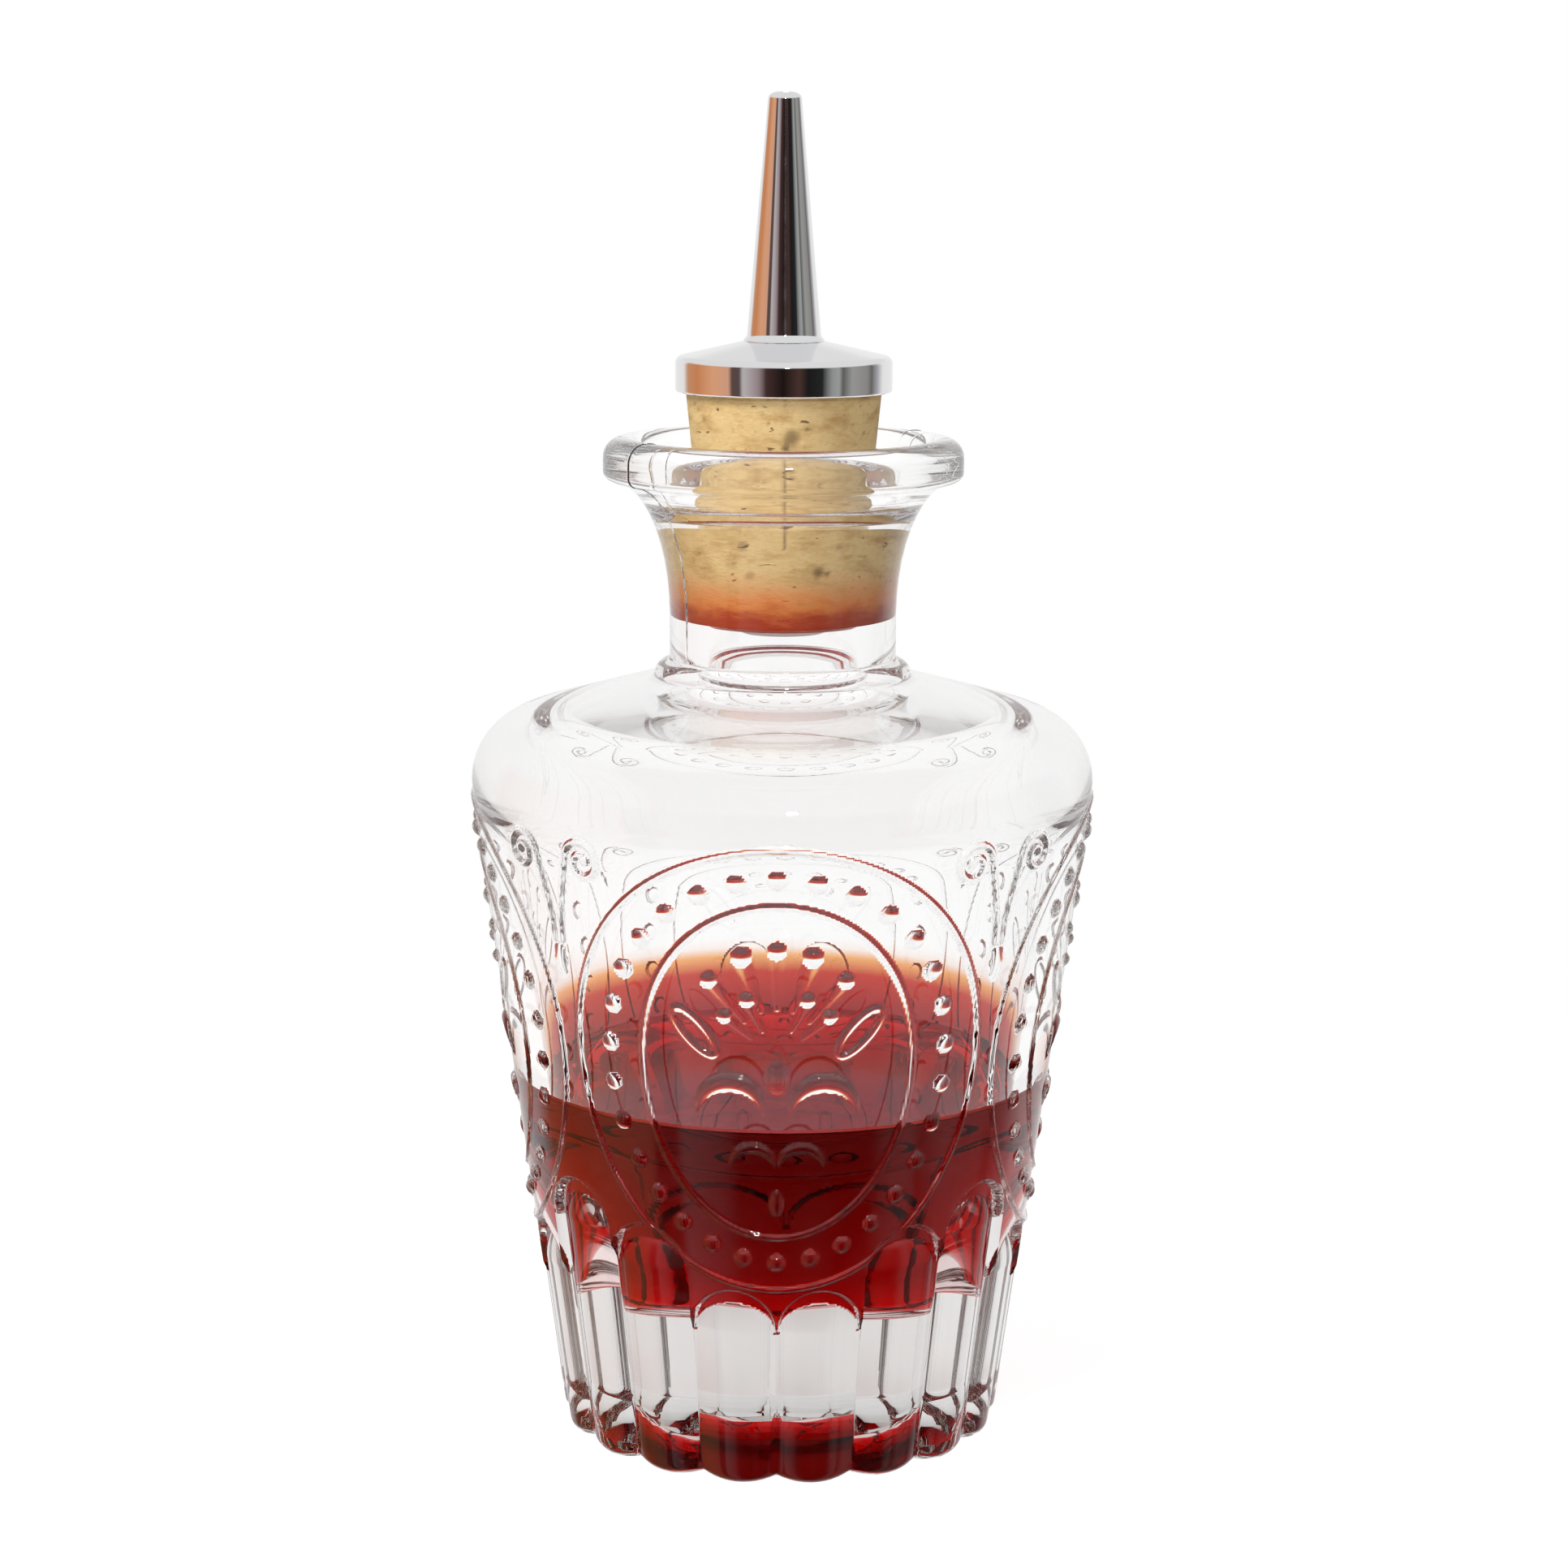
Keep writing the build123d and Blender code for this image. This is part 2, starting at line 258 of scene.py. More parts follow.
def seat(piece: Piece, material: Material, body: Body, node: str) -> Piece:
    """Dress a piece and let it ride on a body and stand for a node."""
    dress(piece, material)
    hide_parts(node)
    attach(piece, body.value)
    faces = sum(len(face.vertices) - 2 for face in piece.data.polygons)
    log.info("%s: %d triangles", piece.name, faces)
    return piece


class NodeSketch:
    """Short way to write the nodes of a material or a world."""

    def __init__(self, owner: bpy.types.ID) -> None:
        """Start an empty node tree on a material or a world."""
        owner.use_nodes = True
        self.owner = owner
        self.tree = owner.node_tree
        self.tree.nodes.clear()

    def put(self, target: Socket, value: object) -> None:
        """Set a socket to a plain value, or link it to a socket or a node's first output."""
        if isinstance(value, Node):
            value = value.outputs[0]
        if isinstance(value, Socket):
            self.tree.links.new(value, target)
        else:
            target.default_value = (*value, 1.0) if target.type == "RGBA" else value

    def node(self, kind: str, **values: object) -> Node:
        """Add a node.

        Args:
            kind: Type name of the node, without its common beginning.
            values: Properties, or what a socket gets where the name starts with an underscore.

        Returns:
            The new node.
        """
        made = self.tree.nodes.new("ShaderNode" + kind)
        for name, value in values.items():
            if name.startswith("_"):
                self.put(made.inputs[name[1:].replace("_", " ")], value)
            else:
                setattr(made, name, value)
        return made

    def attribute(self, name: str) -> Socket:
        """Number that a mesh holds for each face or point."""
        return self.node("Attribute", attribute_name=name).outputs["Fac"]

    def maths(self, operation: str, *values: object) -> Socket:
        """Result of a sum, product or other operation on numbers or sockets."""
        made = self.node("Math", operation=operation)
        for target, value in zip(made.inputs, values):
            self.put(target, value)
        return made.outputs[0]

    def blend(self, factor: object, first: object, second: object) -> Socket:
        """Mix of two colours by a factor, each a socket or a plain value."""
        made = self.node("Mix", data_type="RGBA")
        for index, value in ((0, factor), (6, first), (7, second)):
            self.put(made.inputs[index], value)
        return made.outputs[2]

    def ramp(self, factor: Socket, stops: Stops) -> Socket:
        """Colour read from a ramp with the given stops."""
        made = self.node("ValToRGB")
        self.put(made.inputs[0], factor)
        elements = made.color_ramp.elements
        while len(elements) < len(stops):
            elements.new(0.5)
        for element, (place, colour) in zip(elements, stops):
            element.position = place
            element.color = (*colour, 1.0)
        return made.outputs[0]

    def noise(
        self, place: object, scale: float, detail: float, rough: float = 0.5, warp: float = 0.0
    ) -> Socket:
        """Noise at a place, finer for a greater scale."""
        return self.node(
            "TexNoise", _Vector=place, _Scale=scale, _Detail=detail, _Roughness=rough, _Distortion=warp
        ).outputs["Fac"]

    def span(self, value: Socket, low: float, high: float) -> Socket:
        """Smooth 0 to 1 share of a value between two limits."""
        return self.node(
            "MapRange", interpolation_type="SMOOTHSTEP", _From_Min=low, _From_Max=high, _Value=value
        ).outputs["Result"]

    def mixed(self, factor: Socket, first: Node, second: Node) -> Node:
        """Mix of two shaders by a factor."""
        mix = self.node("MixShader")
        for target, value in zip(mix.inputs, (factor, first, second)):
            self.put(target, value)
        return mix

    def lit_through(self, shader: Node, clearness: float) -> Node:
        """Shader that lets lamp light through instead of throwing a dark shadow."""
        clear = self.node("BsdfTransparent", _Color=(clearness,) * 3)
        return self.mixed(self.node("LightPath").outputs["Is Shadow Ray"], shader, clear)

    def close(self, surface: Node, **more: Node) -> bpy.types.ID:
        """Join the shaders to the output and give the finished material."""
        self.node("OutputMaterial", _Surface=surface, **more)
        return self.owner


@dataclass(frozen=True)
class ClearGlass:
    """Clear pressed glass with a faint grey body tint."""

    ior: float = 1.5
    wet_ior: float = 1.5 / 1.36
    loss: float = 9.0  # loss per metre of glass, of light that isn't kept
    kept: Colour = (0.06, 0.03, 0.0)
    # painted red shadow: the red light that the bitters throws on the table behind, laid as a tint on the
    # back of the glass above the level, orange at its top edge
    film: Stops = (
        (0.0, (1.0, 1.0, 1.0)),
        (0.16, (0.9, 0.44, 0.17)),
        (0.4, (0.56, 0.05, 0.035)),
        (1.0, (0.28, 0.02, 0.025)),
    )

    def material(self) -> Material:
        """Glass that bends light less where the bitters wets it, and carries a painted red shadow on its back
        above the level.
        """
        sketch = NodeSketch(bpy.data.materials.new("clear_pressed_glass"))
        # painted red shadow, read from its mark and coloured by its stops; it tints both glass shaders
        stain = sketch.ramp(sketch.attribute("film"), self.film)
        dry = sketch.node("BsdfGlass", _IOR=self.ior, _Roughness=0.0, _Color=stain)
        moist = sketch.node("BsdfGlass", _IOR=self.wet_ior, _Roughness=0.0, _Color=stain)
        glass = sketch.mixed(sketch.attribute("wet"), dry, moist)
        inside = sketch.node("VolumeAbsorption", _Density=self.loss, _Color=self.kept)
        return sketch.close(sketch.lit_through(glass, 0.96), _Volume=inside)


@dataclass(frozen=True)
class RedBitters:
    """Clear dark red liquid, with a redder look at its free surface."""

    ior: float = 1.36
    loss: float = 900.0  # loss per metre of liquid, of light that isn't kept
    kept: Colour = (0.943, 0.08, 0.05)
    surface: Colour = (0.74, 0.15, 0.18)

    def material(self) -> Material:
        """Material whose colour comes from the length of the way through it."""
        sketch = NodeSketch(bpy.data.materials.new("red_bitters"))
        free = sketch.node("BsdfGlass", _IOR=self.ior, _Roughness=0.0, _Color=self.surface)
        held = sketch.node("BsdfTransparent", _Color=(1.0, 1.0, 1.0))
        skin = sketch.mixed(sketch.attribute("wet"), free, held)
        inside = sketch.node("VolumeAbsorption", _Density=self.loss, _Color=self.kept)
        return sketch.close(sketch.lit_through(skin, 1.0), _Volume=inside)


@dataclass(frozen=True)
class NaturalCork:
    """Natural cork with streaks, dark pores and a wet, stained lower end."""

    pale: Colour = (0.53, 0.375, 0.17)
    warm: Colour = (0.37, 0.225, 0.085)
    pore: Colour = (0.09, 0.045, 0.02)
    stain: Colour = (0.5, 0.13, 0.02)
    soaked: Colour = (0.27, 0.025, 0.004)
    stain_top: float = 102.2
    roughness: float = 0.78
    ragged: float = 0.0045  # metres by which streaks shift the stain's edge

    def material(self) -> Material:
        """Material with growth streaks, pores and the stain of the bitters."""
        sketch = NodeSketch(bpy.data.materials.new("natural_cork"))
        place = sketch.node("TexCoord").outputs["Object"]
        along = sketch.node("Mapping", _Scale=(1.0, 1.0, 2.6), _Vector=place)
        streak = sketch.noise(along, 260.0, 6.0, 0.62)
        grain = sketch.noise(along, 1500.0, 3.0, 0.7)
        pores = sketch.noise(along, 420.0, 2.0, 0.55, 0.6)
        palest = (self.pale[0] * 1.08, self.pale[1] * 1.1, self.pale[2] * 1.2)
        body = sketch.ramp(streak, ((0.3, self.warm), (0.52, self.pale), (0.75, palest)))
        speckle = sketch.maths("MULTIPLY", sketch.span(grain, 0.42, 0.75), 0.35)
        body = sketch.blend(speckle, body, self.warm)
        holes = sketch.maths("MULTIPLY", sketch.span(pores, 0.66, 0.71), 0.85)
        body = sketch.blend(holes, body, self.pore)
        body = sketch.blend(sketch.attribute("pit"), body, self.pore)
        split = sketch.node("SeparateXYZ", _Vector=place)
        shift = sketch.maths("MULTIPLY_ADD", streak, self.ragged, 0.0)
        height = sketch.maths("SUBTRACT", split.outputs["Z"], shift)
        wet = sketch.span(height, (self.stain_top + 0.6) * MM, (self.stain_top - 5.2) * MM)
        body = sketch.blend(sketch.maths("MULTIPLY", wet, 0.92), body, self.stain)
        soak = sketch.span(height, (self.stain_top - 3.6) * MM, (self.stain_top - 6.4) * MM)
        body = sketch.blend(soak, body, self.soaked)
        gloss = sketch.maths("MULTIPLY_ADD", wet, -0.45, self.roughness)
        bump = sketch.node("Bump", _Strength=0.35, _Distance=0.0002, _Height=grain)
        skin = sketch.node(
            "BsdfPrincipled", _Roughness=gloss, _Specular_IOR_Level=0.3, _Base_Color=body, _Normal=bump
        )
        return sketch.close(skin)


@dataclass(frozen=True)
class BrightChrome:
    """Mirror bright plating with faint polishing haze."""

    colour: Colour = (0.86, 0.86, 0.87)
    roughness: float = 0.035
    haze: float = 0.04

    def material(self) -> Material:
        """Material of polished plating with a faint wipe pattern in its gloss."""
        sketch = NodeSketch(bpy.data.materials.new("bright_chrome"))
        place = sketch.node("TexCoord").outputs["Object"]
        wipe = sketch.noise(place, 300.0, 3.0)
        gloss = sketch.maths("MULTIPLY_ADD", wipe, self.haze, self.roughness - self.haze / 2)
        return sketch.close(
            sketch.node("BsdfPrincipled", _Metallic=1.0, _Base_Color=self.colour, _Roughness=gloss)
        )


@dataclass(frozen=True)
class MilkyPlastic:
    """Milky moulded plastic of the tube and the restrictor, faintly pink from the bitters."""

    colour: Colour = (0.84, 0.72, 0.7)

    def material(self) -> Material:
        """Material of slightly mottled plastic."""
        sketch = NodeSketch(bpy.data.materials.new("milky_plastic"))
        place = sketch.node("TexCoord").outputs["Object"]
        darker = tuple(part * 0.9 for part in self.colour)
        colour = sketch.blend(sketch.noise(place, 400.0, 3.0), self.colour, darker)
        return sketch.close(sketch.node("BsdfPrincipled", _Roughness=0.35, _Base_Color=colour))


@dataclass(frozen=True)
class SideLines:
    """Outside lines of the glass body that the other parts of the bottle follow."""

    foot_radius: float = 26.25
    corner_radius: float = 37.5
    corner_height: float = 84.5
    corner_round: float = 8.0
    heel_round: float = 1.6
    skin: float = 3.2  # depth under the smooth side that still belongs to the outside
    oval_height: float = 51.0
    oval: Point = (24.4, 26.0)

    def radius(self, height: Array) -> Array:
        """Radius of the smooth side at a height."""
        return self.foot_radius + (self.corner_radius - self.foot_radius) / self.corner_height * height

    def outside(self, spots: Array) -> Array:
        """Whether points belong to the outside of the wall, and not to the hollow."""
        return self.radius(spots[..., 2]) - np.hypot(spots[..., 0], spots[..., 1]) < self.skin


@dataclass(frozen=True)
class Hollow:
    """Inside of the bottle: a bowl under a straight wall, and a round shoulder under the neck."""

    floor: float = 17.3
    bowl: tuple[Point3, ...] = ((17.0, 17.3, 5.5), (27.84, 40.5, 14.0))
    shoulder: Point3 = (33.5, 81.6, 10.0)
    throat: Point3 = (8.72, 87.1, 8.0)
    neck: Point3 = (8.72, 96.6, 0.0)
    spacing: float = 1.5
    level: float = 43.0  # height of the bitters
    rise: float = 0.55  # how far the bitters climbs the glass

    def path(self) -> list[Point]:
        """Outline from the middle of the floor up into the neck."""
        corners = [(0.0, self.floor, 0.0), *self.bowl, self.shoulder, self.throat, self.neck]
        return refined(rounded_path(corners, segments=14), self.spacing, 0.0, 97.0)

    def below(self, top: float) -> list[Point]:
        """Part of the outline from the middle of the floor up to a height."""
        path = self.path()
        kept = [point for point in path if point[1] < top]
        start, end = kept[-1], path[len(kept)]
        return kept + [(between(start, end, (top - start[1]) / (end[1] - start[1]))[0], top)]


@dataclass(frozen=True)
class CorkLines:
    """Outside lines of the tapered cork, which the bore of the neck follows."""

    bottom: float = 97.0
    length: float = 29.2
    bottom_radius: float = 8.7
    top_radius: float = 11.6

    def radius(self, height: float) -> float:
        """Radius of the cork at a height."""
        slope = (self.top_radius - self.bottom_radius) / self.length
        return self.bottom_radius + slope * (height - self.bottom)


@dataclass
class Columns:
    """Ring of convex columns round the foot, each in an arched pocket."""

    side: SideLines
    count: int = 18
    valley_share: float = 1.2 / 26.25
    crest_inset: float = 0.08
    pocket: float = 1.25
    top_gap: float = 1.0
    top_limit: float = 35.0
    edge_width: float = 0.55

    def tops(self, centre: Array) -> Array:
        """Height where the column with a centre angle ends, under the nearest medallion's rail."""
        offset = np.abs((centre + math.pi / 4) % (math.pi / 2) - math.pi / 4)
        middle = self.side.oval_height
        share = np.minimum(offset * self.side.radius(middle) / self.side.oval[0], 1.0)
        return np.minimum(middle - self.side.oval[1] * np.sqrt(1.0 - share**2) - self.top_gap, self.top_limit)

    def relief(self, angle: Array, height: Array) -> Array:
        """Radial move of the side at an angle and height, never outward.

        Args:
            angle: Angle from the front, in radians.
            height: Height in millimetres.

        Returns:
            Move in millimetres.
        """
        half = math.pi / self.count
        centre = (np.floor(angle / (2 * half)) + 0.5) * 2 * half
        turn = angle - centre
        top = self.tops(centre)
        arch = self.side.radius(top) * math.sin(half)
        spring = top - arch
        smooth = self.side.radius(height)
        at = np.minimum(height, spring)
        base = self.side.radius(at)
        crest = base - self.crest_inset
        valley = base * (1 - self.valley_share)
        rise = crest - valley * math.cos(half)
        chord = valley * math.sin(half)
        bend = (chord**2 + rise**2) / (2 * rise)
        hub = crest - bend
        over = np.maximum(height - spring, 0.0)
        under = bend**2 - over**2 - (hub * np.sin(turn)) ** 2
        column = hub * np.cos(turn) + np.sqrt(np.maximum(under, 0.0))
        surface = np.maximum(column, smooth - self.pocket)
        across = np.abs(smooth * np.sin(turn))
        round_end = arch - np.hypot(across, over)
        below = np.maximum(arch - across, spring - height)
        inside = np.where(height > spring, round_end, below)
        return np.minimum(surface - smooth, 0.0) * smooth_step(inside / self.edge_width)


@dataclass
class Medallion:
    """Oval medallion with two rails, a ring of beads and a palmette, four times round the body."""

    side: SideLines
    inner: Point = (15.6, 19.6)
    rail_half: float = 0.52
    rail_raise: float = 0.34
    bead_ring: Point = (19.8, 22.6)
    bead_band: float = 0.12
    bead_count: int = 30
    bead_radius: float = 1.22
    bead_raise: float = 0.72
    fan_height: float = 53.0
    petals: tuple[Shape, ...] = (
        (0.0, 12.5, 5.8, 1.05, 0.5),
        (18.5, 12.4, 5.8, 1.2, 0.5),
        (40.0, 11.7, 5.6, 1.0, 0.5),
        (26.0, 7.6, 3.6, 0.9, 0.4),
        (50.0, 7.6, 3.6, 0.9, 0.4),
    )
    petal_raise: Point = (0.09, 0.62)
    loop: Shape = (9.1, 55.8, 3.4, 1.15, 41.0)
    loop_half: float = 0.58
    loop_raise: float = 0.26
    crescents: tuple[Shape, ...] = ((5.2, 47.4, 3.9, 2.5), (2.7, 40.5, 2.6, 1.5))
    crescent_raise: float = 0.6
    drops: tuple[Point3, ...] = ((50.6, 1.3, 2.1), (35.6, 0.8, 1.7))
    drop_raise: float = 0.55

    def oval_away(self, across: Array, up: Array, half: Point) -> Array:
        """Rough distance outside an oval with a half width and a half height."""
        share = np.hypot(across / half[0], up / half[1])
        steep = np.hypot(across / half[0] ** 2, up / half[1] ** 2) / np.maximum(share, 1e-6)
        return (share - 1.0) / np.maximum(steep, 1e-6)

    def rail(self, along: Array, rise: Array, half: Point) -> Array:
        """Height over the side of an oval rail with a half width and a half height."""
        away = self.oval_away(along, rise, half)
        return self.rail_raise * smooth_step(1.0 - np.abs(away) / self.rail_half)

    def beads(self, along: Array, rise: Array) -> Array:
        """Height of the ring of round beads over the side."""
        result = np.zeros_like(along)
        sunk = self.bead_radius - self.bead_raise
        for step in range(self.bead_count):
            turn = 2 * math.pi * step / self.bead_count
            across, up = self.bead_ring[0] * math.sin(turn), self.bead_ring[1] * math.cos(turn)
            away = np.hypot(along - across, rise - up)
            ball = np.sqrt(np.maximum(self.bead_radius**2 - away**2, 0.0)) - sunk
            result = np.maximum(result, ball)
        return result

    def petal(self, across: Array, up: Array, shape: Shape) -> Array:
        """Height of one pair of petals, each a round head on a low tapering body.

        Args:
            across: Distance from the medallion's middle line.
            up: Height.
            shape: Lean in degrees, distances of head and foot from the fan's root, and their radii.

        Returns:
            Height over the side.
        """
        lean, head, foot, head_radius, foot_radius = shape
        tilt = math.radians(lean)
        way = np.array((math.sin(tilt), math.cos(tilt)))
        root = np.array((0.0, self.fan_height))
        far, near = root + head * way, root + foot * way
        share, away = leg_away(np.abs(across), up, near, far)
        local = foot_radius + (head_radius - foot_radius) * share
        body = self.petal_raise[0] * smooth_step(1.2 * (1.0 - away / local))
        knob = np.hypot(np.abs(across) - far[0], up - far[1]) / head_radius
        return np.maximum(body, self.petal_raise[1] * np.maximum(1.0 - knob**2, 0.0))

    def leaf_loop(self, across: Array, up: Array) -> Array:
        """Height of one pair of outlined leaves that lean outward beside the fan."""
        reach, height, half_length, half_width, lean = self.loop
        tilt = math.radians(lean)
        x, z = np.abs(across) - reach, up - height
        along = x * math.sin(tilt) + z * math.cos(tilt)
        sideways = x * math.cos(tilt) - z * math.sin(tilt)
        away = self.oval_away(along, sideways, (half_length, half_width))
        return self.loop_raise * smooth_step(1.0 - np.abs(away) / self.loop_half)

    def crescent(self, across: Array, up: Array, shape: Shape) -> Array:
        """Height of one pair of arched crescents with their horns down."""
        reach, height, radius, drop = shape
        first = np.hypot(np.abs(across) - reach, up - height)
        second = np.hypot(np.abs(across) - reach, up - height + drop)
        inside = np.minimum(radius - first, second - radius)
        return self.crescent_raise * dome(inside / (drop / 2))

    def drop(self, across: Array, up: Array, shape: Point3) -> Array:
        """Height of one drop on the medallion's middle line."""
        height, half_width, half_height = shape
        return self.drop_raise * dome(1.0 - np.hypot(across / half_width, (up - height) / half_height))

    def relief(self, angle: Array, height: Array) -> Array:
        """Outward move of the side at an angle and height."""
        turn = (angle + math.pi / 4) % (math.pi / 2) - math.pi / 4
        along = turn * self.side.radius(self.side.oval_height)
        rise = height - self.side.oval_height
        across = self.side.radius(height) * np.sin(turn)
        result = np.maximum(self.rail(along, rise, self.side.oval), self.rail(along, rise, self.inner))
        share = np.hypot(along / self.bead_ring[0], rise / self.bead_ring[1])
        near = np.abs(share - 1.0) < self.bead_band
        result[near] = np.maximum(result[near], self.beads(along[near], rise[near]))
        middle = np.hypot(along / self.inner[0], rise / self.inner[1]) < 1.0
        x, z = across[middle], height[middle]
        figures = self.leaf_loop(x, z)
        drawn = [self.petal(x, z, shape) for shape in self.petals]
        drawn += [self.crescent(x, z, shape) for shape in self.crescents]
        drawn += [self.drop(x, z, shape) for shape in self.drops]
        for figure in drawn:
            figures = np.maximum(figures, figure)
        result[middle] = np.maximum(result[middle], figures)
        return result


@dataclass
class Scrolls:
    """Pair of scrolls on one leaf between two medallions."""

    side: SideLines
    height: float = 74.0
    reach: float = 5.0
    radius: float = 2.7
    turns: float = 1.4
    eye_share: float = 0.22
    half_width: float = 0.62
    raise_by: float = 0.48
    foot_height: float = 62.0
    leaf: Point = (1.1, 2.3)
    leaf_raise: float = 0.5
    eye_radius: float = 0.8
    stem_bow: float = 0.5
    band: Point = (58.0, 79.0)
    curl_steps: int = 43
    stem_steps: int = 12

    def line(self) -> Array:
        """Middle line of the scroll on the positive side, from the stem's foot to the eye."""
        points = []
        for step in range(self.curl_steps + 1):
            share = step / self.curl_steps
            turn = 2 * math.pi * self.turns * share
            radius = self.radius * (1 - (1 - self.eye_share) * share)
            points.append((self.reach - radius * math.cos(turn), self.height + radius * math.sin(turn)))
        start = np.array(points[0])
        foot = np.array((self.leaf[0] / 2, self.foot_height + self.leaf[1]))
        stem = []
        for step in range(self.stem_steps):
            share = step / self.stem_steps
            bow = np.array((self.stem_bow * math.sin(math.pi * share), 0.0))
            stem.append(foot + (start - foot) * share - bow * (1 - share))
        return np.array(stem + [np.array(point) for point in points])

    def relief(self, angle: Array, height: Array) -> Array:
        """Outward move of the side at an angle and height."""
        turn = angle % (math.pi / 2) - math.pi / 4
        across = self.side.radius(height) * np.sin(turn)
        result = np.zeros_like(across)
        near = np.abs(across) < self.reach + self.radius + 1.5
        near &= (height > self.band[0]) & (height < self.band[1])
        x, z = np.abs(across[near]), height[near]
        nearest = np.full_like(x, 9.0)
        line = self.line()
        for start, end in zip(line, line[1:]):
            nearest = np.minimum(nearest, leg_away(x, z, start, end)[1])
        ridge = self.raise_by * smooth_step(1.0 - nearest / self.half_width)
        eye = np.hypot(x - line[-1][0], z - line[-1][1])
        ball = self.leaf_raise * np.maximum(1.0 - (eye / self.eye_radius) ** 2, 0.0)
        leaf = self.leaf_raise * dome(1.0 - np.hypot(x / self.leaf[0], (z - self.foot_height) / self.leaf[1]))
        result[near] = np.maximum(np.maximum(ridge, ball), leaf)
        return result


@dataclass
class PressedBottle:
    """Pressed glass bottle: one closed skin of glass, outside and inside."""

    side: SideLines = SideLines()
    hollow: Hollow = Hollow()
    cork: CorkLines = CorkLines()
    finish: ClearGlass = ClearGlass()
    steps: int = 200
    band_low: float = 2.0  # only faces above this height are divided for the ornament
    band_high: float = 86.0  # the ornament ends below this height
    shoulder_high: float = 92.0
    rows: Point = (1.05, 2.0)  # longest runs of the outline, below that height and above
    limits: Point = (0.012, 0.016)  # departures from the ornament that are left undivided
    dish_radius: float = 22.8
    dish_depth: float = 5.6
    sole_round: float = 0.5
    heel_inside: float = 18.0
    heel_low: float = 2.2  # the ornament is read no lower than this
    heel_high: float = 4.0
    heel_fade: Point = (22.2, 3.0)  # radius where the ornament starts below, and its run
    heel_lift: Point3 = (1.5, 1.2, 0.9)  # depth that lifts fully, most of it, and its lift
    body_end: Point3 = (15.1, 90.87, 0.0)
    ring: Point3 = (13.5, 91.0, 1.6)
    ring_turns: Shape = (0.05, 0.35, 0.7, 1.05, 1.35)
    neck: tuple[Point3, ...] = ((13.75, 92.62, 0.0), (13.3, 92.75, 0.4), (13.3, 98.0, 0.0))
    flare_middle: Point = (20.3, 98.0)
    flare_reach: Point = (-7.0, 15.8)
    lip: tuple[Point3, ...] = (
        (20.2, 113.8, 0.0),
        (21.05, 114.1, 1.1),
        (21.05, 118.7, 2.3),
        (16.8, 118.7, 2.0),
        (14.4, 111.8, 2.6),
    )
    grip_high: float = 110.7
    grip_low: Point3 = (8.72, 97.0, 0.0)
    grip_rows: Shape = (109.8, 105.0, 101.0, 97.4)
    shaded: Point = (4.5, 77.5)  # heights between which the ornament gives the normals
    seam_angle: float = math.radians(-56.0)
    seam_half: float = 0.22
    seam_raise: float = 0.1
    seam_start: Point = (12.9, 93.5)  # radius and height where the seam begins
    seam_run: float = 3.0
    seam_near: float = 0.8
    # painted red shadow on the back of the glass: how high it reaches above the level, and where it starts
    film_height: float = 8.5
    film_front: Point = (-8.0, 14.0)  # where the painted red shadow starts on the way back, and its run

    def __post_init__(self) -> None:
        """Make the ornaments that follow the side lines."""
        self.columns = Columns(self.side)
        self.medallion = Medallion(self.side)
        self.scrolls = Scrolls(self.side)

    def relief(self, angle: Array, height: Array) -> Array:
        """Radial move of the smooth side at an angle and height, in millimetres."""
        raised = np.maximum(self.medallion.relief(angle, height), self.scrolls.relief(angle, height))
        return self.columns.relief(angle, height) + raised

    def foot(self) -> list[Point]:
        """Outline of the base and the body, from the middle of the base to the ring under the neck."""
        dish = (self.dish_radius**2 + self.dish_depth**2) / (2 * self.dish_depth)
        base = [
            (radius, self.dish_depth - dish + math.sqrt(dish**2 - radius**2))
            for radius in np.linspace(0.0, self.dish_radius - 0.6, 15).tolist()
        ]
        corners = [
            base[-1] + (0.0,),
            (self.dish_radius, 0.0, self.sole_round),
            (self.side.foot_radius, 0.0, self.side.heel_round),
            (self.side.corner_radius, self.side.corner_height, self.side.corner_round),
            self.body_end,
        ]
        body = refined(rounded_path(corners, segments=9)[1:], self.rows[0], 0.0, self.band_high)
        return base + refined(body, self.rows[1], self.band_high, self.shoulder_high)

    def outline(self) -> list[Point]:
        """Outline of the glass from the middle of the base, over the lip, to the middle of the floor."""
        across, up, half = self.ring
        ring = curved((across, up), (half, half), self.ring_turns)
        neck = rounded_path(list(self.neck), segments=3)
        flare = curved(self.flare_middle, self.flare_reach, [math.radians(turn) for turn in range(8, 89, 8)])
        mouth = (self.cork.radius(self.grip_high) + 0.05, self.grip_high, 0.8)
        lip = rounded_path([*self.lip, mouth, self.grip_low], segments=8)
        grip = [(radius, height) for radius, height in lip if height > 97.5]
        bore = [(self.cork.radius(height) - 0.02, height) for height in self.grip_rows]
        return braced(self.foot() + ring + neck + flare + grip + bore + self.hollow.path()[::-1])

